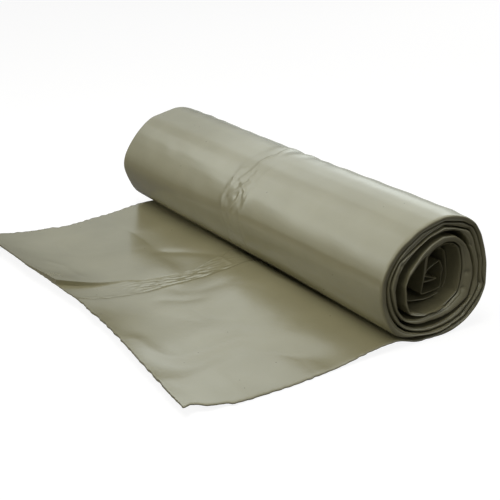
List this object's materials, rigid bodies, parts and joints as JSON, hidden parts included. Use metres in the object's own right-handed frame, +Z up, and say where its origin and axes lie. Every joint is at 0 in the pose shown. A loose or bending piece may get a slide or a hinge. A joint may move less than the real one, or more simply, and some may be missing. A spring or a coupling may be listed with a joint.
{
  "type": "bin bag roll",
  "caption": "Roll of folded polythene bin bags, wound without a core, with its free end laid out on the floor.",
  "frame": {"origin": "on the floor, under the middle of the roll's flat spot, half way along its length", "axes": "+X along the roll towards its near end, -Y towards the free end of the strip, +Z up"},
  "size_m": [0.354, 0.2033, 0.0742],
  "materials": {
    "film": "semi-gloss olive-grey polythene film"
  },
  "bodies": {
    "root": {"bag_roll": "film"}
  },
  "joints": []
}
